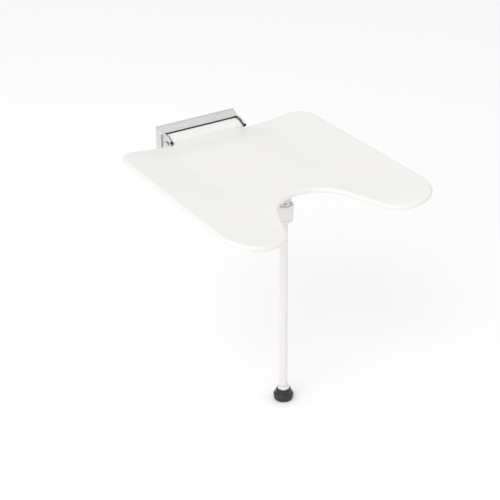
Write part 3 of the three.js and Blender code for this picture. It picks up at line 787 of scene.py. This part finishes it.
def socket_screw(centre, shank, low, high, facing, head=5 * MM, head_tall=3.2 * MM, along="Z"):
    """A button-head screw with a hexagon socket. facing is +1 or -1, the way its head looks."""
    reach = 0.55 * (head or shank)
    end, tip = (high, low) if facing > 0 else (low, high)
    if head:
        seat_at = end - facing * head_tall
        profile = [(0, tip), (shank - 0.4 * MM, tip), (shank, tip + facing * 0.4 * MM), (shank, seat_at),
                   (head, seat_at), (head, end - facing * 1.6 * MM), (head * 0.93, end - facing * 0.8 * MM),
                   (head * 0.8, end - facing * 0.2 * MM), (head * 0.66, end), (0, end)]
    else:
        profile = [(0, tip), (shank, tip), (shank, end - facing * 0.3 * MM),
                   (shank - 0.3 * MM, end), (0, end)]
    body = turned(profile, (0, 0, 0), steps=40)
    deep = end - facing * 1.9 * MM
    key = turned([(0, deep), (reach, deep), (reach, end + facing * MM), (0, end + facing * MM)],
                 (0, 0, 0), steps=6)
    body = cut(body, key)
    if along == "X":
        bmesh.ops.rotate(body, verts=body.verts[:], cent=(0, 0, 0),
                         matrix=Matrix.Rotation(math.pi / 2, 3, "Y"))
    bmesh.ops.translate(body, verts=body.verts[:], vec=centre)
    return body


def middle_and_ends(node, axis):
    """Centre of a node's box, and the box's two ends along one axis."""
    low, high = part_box(node)
    return (low + high) / 2, low[axis], high[axis]


ARM_X = 60 * MM
ARM_HALF = 8 * MM
ARM_END = -300 * MM
UNDERSIDE = 27.5 * MM
SCREW_YS = (-110 * MM, -190 * MM, -270 * MM)
RAIL_Y = -200 * MM


def arm_outline():
    """Side view of an arm: an eye round the axle, a heel behind it and a tapering bar in front."""
    top = UNDERSIDE - 0.4 * MM
    eye = points_on_arc(AXIS.y, AXIS.z, 15 * MM, 60, 150, 20)
    front = [(-62, 13.4), (-100, 17.2), (-140, 27.1), (-294, 27.1), (-300, 21.5), (-300, 17.5), (-180, 6),
             (-60, -6), (-16, -22), (-9.4, -22), (-9.4, -12)]
    return eye + [(y * MM, min(z * MM, top)) for y, z in front] + \
        points_on_arc(AXIS.y, AXIS.z, 15 * MM, -10, 40, 10)


class SHOWER_OT_arms(Operator):
    """Two arms, the rail between them and their screws"""
    bl_idname = "shower.arms"
    bl_label = "Support arms"

    def execute(self, context):
        bar = side_prism(arm_outline(), ARM_X - ARM_HALF, ARM_X + ARM_HALF)
        round_edges(bar, 1.2 * MM, 3, 50, lambda e: abs(e.verts[0].co.x - e.verts[1].co.x) < 1e-5)
        holes = [rod(2.9 * MM, -0.04, 0.04, (ARM_X, y, 0), steps=32) for y in SCREW_YS]
        bar = cut(bar, rod(8.8 * MM, 0.03, 0.09, (0, AXIS.y, AXIS.z), "X"),
                  rod(3.4 * MM, 0.03, 0.09, (0, RAIL_Y, 14.5 * MM), "X"), *holes)
        pair("arm", bar, "support_arm")
        low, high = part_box("cross_rail")
        rail = round_edges(block(low, high), 1.5 * MM, 3)
        piece("rail", rail, "cross_rail")
        for i in range(3):
            middle, z0, z1 = middle_and_ends(f"seat_screw_{i + 1}_right", 2)
            screw = socket_screw((middle.x, middle.y, 0), 2.6 * MM, z0, z1, -1)
            pair(f"seat_bolt_{i + 1}", screw, f"seat_screw_{i + 1}")
        middle, x0, x1 = middle_and_ends("rail_screw_right", 0)
        screw = socket_screw((0, middle.y, middle.z), 2.6 * MM, x0, x1, 1, along="X")
        pair("rail_bolt", screw, "rail_screw")
        return {"FINISHED"}


# ---- leg ------------------------------------------------------------------------------------

DOME_R = 15 * MM
SOCKET_R = 19 * MM
SOCKET_TOP = -6.5 * MM
SOCKET_BOTTOM = -36.5 * MM
TUBE_R = 8.2 * MM


class SHOWER_OT_leg_bracket(Operator):
    """Steel bracket that carries the leg's hinge, and its screws"""
    bl_idname = "shower.leg_bracket"
    bl_label = "Leg bracket"

    def execute(self, context):
        low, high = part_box("leg_bracket")
        top = high.z
        base = block((low.x, low.y, top - 4 * MM), (high.x, PIVOT.y + 6 * MM, top))
        round_edges(base, 4 * MM, 5, 50, lambda e: abs(e.verts[0].co.z - e.verts[1].co.z) > MM)
        ear = [(PIVOT.y + 6 * MM, top - MM), (PIVOT.y - 7.6 * MM, top - MM)]
        ear += points_on_arc(PIVOT.y, PIVOT.z, 7.6 * MM, 180, 360, 32)
        body = joined(base, side_prism(ear, -6 * MM, 6 * MM))
        spots = ((16 * MM, -374 * MM), (19.5 * MM, -352 * MM))
        holes = [rod(2.4 * MM, 0, 0.04, (side * x, y, 0), steps=32) for x, y in spots for side in (-1, 1)]
        body = cut(body, rod(3.15 * MM, -0.02, 0.02, (0, PIVOT.y, PIVOT.z), "X"), *holes)
        round_edges(body, 0.5 * MM, 2, 55)
        piece("hinge_bracket", body, "leg_bracket")
        for i, (x, y) in enumerate(spots):
            middle, z0, z1 = middle_and_ends(f"bracket_screw_{i + 1}_right", 2)
            screw = socket_screw((middle.x, middle.y, 0), 2.1 * MM, z0, z1, -1,
                                 head=4 * MM, head_tall=2.5 * MM)
            pair(f"bracket_bolt_{i + 1}", screw, f"bracket_screw_{i + 1}")
        return {"FINISHED"}


class SHOWER_OT_leg(Operator):
    """Leg: knuckled socket, its ring, the pin and the tube"""
    bl_idname = "shower.leg"
    bl_label = "Leg"

    def execute(self, context):
        middle = Vector((0, PIVOT.y, 0))
        edge = points_on_arc(SOCKET_R - 2.4 * MM, SOCKET_TOP - 2.4 * MM, 2.4 * MM, 0, 90, 8)
        foot = points_on_arc(SOCKET_R - 1.2 * MM, SOCKET_BOTTOM + 1.2 * MM, 1.2 * MM, -90, 0, 5)
        collar = turned([(0, SOCKET_BOTTOM), *foot, *edge, (0, SOCKET_TOP)], middle, steps=96)
        knuckle = rod(DOME_R, -DOME_R, DOME_R, (0, PIVOT.y, PIVOT.z), "X", 96)
        knuckle = combine(knuckle, [rod(DOME_R, -0.03, 0.04, middle, steps=96)], "INTERSECT")
        neck = rod(DOME_R, SOCKET_TOP - 2 * MM, PIVOT.z, middle, steps=96)
        wide = 6.5 * MM
        turn_room = 8.4 * MM
        rear = PIVOT.y + 30 * MM
        slot = [rod(turn_room, -wide, wide, (0, PIVOT.y, PIVOT.z), "X"),
                block((-wide, PIVOT.y - turn_room, PIVOT.z), (wide, rear, 0.03)),
                block((-wide, PIVOT.y, PIVOT.z - turn_room), (wide, rear, 0.03))]
        body = joined(collar, knuckle, neck)
        pin_line = (0, PIVOT.y, PIVOT.z)
        body = cut(body, *slot, rod(3.15 * MM, -0.03, 0.03, pin_line, "X"),
                   rod(4.6 * MM, 11.6 * MM, 0.03, pin_line, "X"),
                   rod(4.6 * MM, -0.03, -11.6 * MM, pin_line, "X"),
                   rod(TUBE_R + 0.3 * MM, -0.04, -13 * MM, middle, steps=64))
        piece("knuckle_socket", body, "leg_socket", sharp=40)

        low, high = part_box("socket_ring")
        inner = TUBE_R + 0.3 * MM
        profile = [(inner, low.z), (17 * MM, low.z), (17.7 * MM, low.z + 0.3 * MM), (18 * MM, low.z + MM),
                   (18 * MM, high.z - 0.7 * MM), (17.8 * MM, high.z - 0.2 * MM),
                   (17.4 * MM, high.z), (inner, high.z)]
        piece("clamp_ring", turned(profile, middle, steps=96), "socket_ring")

        low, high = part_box("leg_tube")
        wall = TUBE_R - 1.5 * MM
        profile = [(wall, low.z), (TUBE_R - 0.5 * MM, low.z), (TUBE_R, low.z + 0.5 * MM),
                   (TUBE_R, high.z - 0.5 * MM), (TUBE_R - 0.5 * MM, high.z), (wall, high.z)]
        piece("tube", turned(profile, middle, steps=96), "leg_tube")

        pin = joined(rod(3 * MM, -13.2 * MM, 12.6 * MM, pin_line, "X", 48, 0.5 * MM),
                     rod(4.3 * MM, 11.9 * MM, 13.2 * MM, pin_line, "X", 48, 0.4 * MM))
        piece("pivot_pin", pin, "leg_pin")
        clip = cut(rod(4.3 * MM, -13 * MM, -12 * MM, pin_line, "X", 48, 0.15 * MM),
                   rod(3.15 * MM, -0.02, -0.01, pin_line, "X", 48),
                   block((-0.02, PIVOT.y - 1.6 * MM, PIVOT.z - 6 * MM),
                         (-0.01, PIVOT.y + 1.6 * MM, PIVOT.z)))
        piece("retaining_clip", clip, "pin_clip")
        return {"FINISHED"}


class SHOWER_OT_foot(Operator):
    """Rubber foot with its white ferrule and the adjusting screw"""
    bl_idname = "shower.foot"
    bl_label = "Foot"

    def execute(self, context):
        middle = Vector((0, PIVOT.y, FLOOR))
        profile = [(0, 0), (15.6, 0), (16, 0.5), (17.6, 0.5), (18, 0), (18.7, 0.2), (19.3, 1), (19.6, 2.2),
                   (19.75, 4), (19.85, 6), (19.7, 7.6), (19.3, 8.2), (19.3, 8.7), (19.9, 9.0), (20.5, 9.3),
                   (20.8, 10), (20.8, 11.2), (20.5, 12), (19.9, 12.6), (19.2, 13.2), (18.5, 14),
                   (17.9, 15.1), (17.4, 16.6), (16.8, 18.4), (16.1, 20.4), (15.2, 22.6), (14.5, 24.3),
                   (14.1, 25.2), (13.8, 25.8), (13.4, 26), (13.1, 25.9), (12.9, 25.5),
                   (12.9, 22.1), (8.4, 22.1), (8.4, 6.6), (0, 6.6)]
        body = turned([(r * MM, h * MM) for r, h in profile], middle, steps=96)
        piece("bell_foot", body, "rubber_foot", sharp=55)
        profile = [(5.3, 22.5), (12, 22.5), (12.5, 23), (12.5, 29.6), (12.3, 30.4), (11.8, 31),
                   (11, 31.4), (5.3, 31.4)]
        body = turned([(r * MM, h * MM) for r, h in profile], middle, steps=96)
        piece("ferrule", body, "foot_ferrule", sharp=50)
        thread = []
        pitch = 1.5 * MM
        low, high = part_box("foot_spindle")
        z = low.z + 12 * MM
        while z + pitch < high.z - 2 * MM:
            thread += [(4.35 * MM, z), (5 * MM, z + pitch * 0.45), (5 * MM, z + pitch * 0.55)]
            z += pitch
        profile = [(0, low.z), (8 * MM, low.z), (8 * MM, low.z + 4 * MM), (4.35 * MM, low.z + 4 * MM),
                   *thread, (4.35 * MM, z), (4 * MM, high.z - 0.5 * MM), (3.5 * MM, high.z), (0, high.z)]
        piece("adjusting_screw", turned(profile, Vector((0, PIVOT.y, 0)), steps=40), "foot_spindle")
        return {"FINISHED"}


# ---- inner pieces and stage -----------------------------------------------------------------

class SHOWER_OT_inner(Operator):
    """Finishes for the frame's own pieces that stay as they are"""
    bl_idname = "shower.inner"
    bl_label = "Inner pieces"

    def execute(self, context):
        slots = {s["node"]: s["material_slot"] for s in frame["record"]["subparts"]}
        for name, obj in frame["nodes"].items():
            if not obj.hide_render:
                obj.data.materials.clear()
                obj.data.materials.append(finish_for(slots[name]))
        return {"FINISHED"}


def soft_light(name, place, target, size, power):
    data = bpy.data.lights.new(name, "AREA")
    data.shape = "RECTANGLE"
    data.size, data.size_y = size
    data.energy = power
    light = bpy.data.objects.new(name, data)
    light.location = place
    light.rotation_euler = (Vector(target) - Vector(place)).to_track_quat("-Z", "Y").to_euler()
    bpy.context.scene.collection.objects.link(light)


class SHOWER_OT_stage(Operator):
    """Pale floor, soft light and the camera"""
    bl_idname = "shower.stage"
    bl_label = "Stage"

    def execute(self, context):
        s = context.scene.shower_stage
        bm = bmesh.new()
        bmesh.ops.create_grid(bm, x_segments=1, y_segments=1, size=12,
                              matrix=Matrix.Translation((0, 0, FLOOR - 0.2 * MM)))
        floor = to_object("floor", bm)
        pale = Finish("pale_floor", (0.99, 0.99, 0.99), 0.8, Specular_IOR_Level=0.05)
        floor.data.materials.append(pale.material)

        world = context.scene.world or bpy.data.worlds.new("room")
        context.scene.world = world
        room = Tree(world)
        direction = room.node("ShaderNodeTexCoord", {}, {}, "Generated")
        height = room.node("ShaderNodeSeparateXYZ", {}, {0: direction}, "Z")
        background = room.nodes["Background"]
        room.feed(background.inputs["Color"], room.ramp(height, 0.2, 1.0, (s.horizon, 1.0)))
        background.inputs["Strength"].default_value = s.world

        seat = Vector((0, -0.3, 0))
        soft_light("key", (-2.2, -1.5, 2.1), seat, (3, 3), s.key_power)

        aim = Vector((-0.1724, -0.5922, 0.0425))
        back = Vector((math.sin(s.azimuth) * math.cos(s.elevation),
                       -math.cos(s.azimuth) * math.cos(s.elevation), math.sin(s.elevation)))
        data = bpy.data.cameras.new("camera")
        data.lens = s.lens
        data.shift_x = -0.054
        data.shift_y = 0.01
        camera = bpy.data.objects.new("camera", data)
        camera.location = aim + back * s.distance
        camera.rotation_euler = back.to_track_quat("Z", "Y").to_euler()
        context.scene.collection.objects.link(camera)
        context.scene.camera = camera
        context.scene.view_settings.view_transform = "Standard"
        return {"FINISHED"}


OPERATORS = (
    SHOWER_OT_seat, SHOWER_OT_barrel, SHOWER_OT_cover, SHOWER_OT_cheeks, SHOWER_OT_seals, SHOWER_OT_arms,
    SHOWER_OT_leg_bracket, SHOWER_OT_leg, SHOWER_OT_foot, SHOWER_OT_inner, SHOWER_OT_stage,
)


class SHOWER_PT_panel(Panel):
    """Lists the seat's settings and the steps that build it"""
    bl_idname = "SHOWER_PT_panel"
    bl_label = "Folding Shower Seat"
    bl_space_type = "VIEW_3D"
    bl_region_type = "UI"
    bl_category = "Shower Seat"

    def draw(self, context):
        for group in (context.scene.shower_seat, context.scene.shower_finishes, context.scene.shower_stage):
            box = self.layout.box()
            for name in group.__annotations__:
                box.prop(group, name)
        for operator in OPERATORS:
            self.layout.operator(operator.bl_idname)


SETTINGS = {
    "shower_seat": SeatSettings,
    "shower_finishes": FinishSettings,
    "shower_stage": StageSettings,
}


def register():
    for cls in (*SETTINGS.values(), *OPERATORS, SHOWER_PT_panel):
        bpy.utils.register_class(cls)
    for name, cls in SETTINGS.items():
        setattr(bpy.types.Scene, name, PointerProperty(type=cls))


def unregister():
    for name in SETTINGS:
        delattr(bpy.types.Scene, name)
    for cls in (SHOWER_PT_panel, *reversed(OPERATORS), *reversed(SETTINGS.values())):
        bpy.utils.unregister_class(cls)


def main():
    register()
    for operator in OPERATORS:
        group, name = operator.bl_idname.split(".")
        getattr(getattr(bpy.ops, group), name)()


if __name__ == "__main__":
    main()
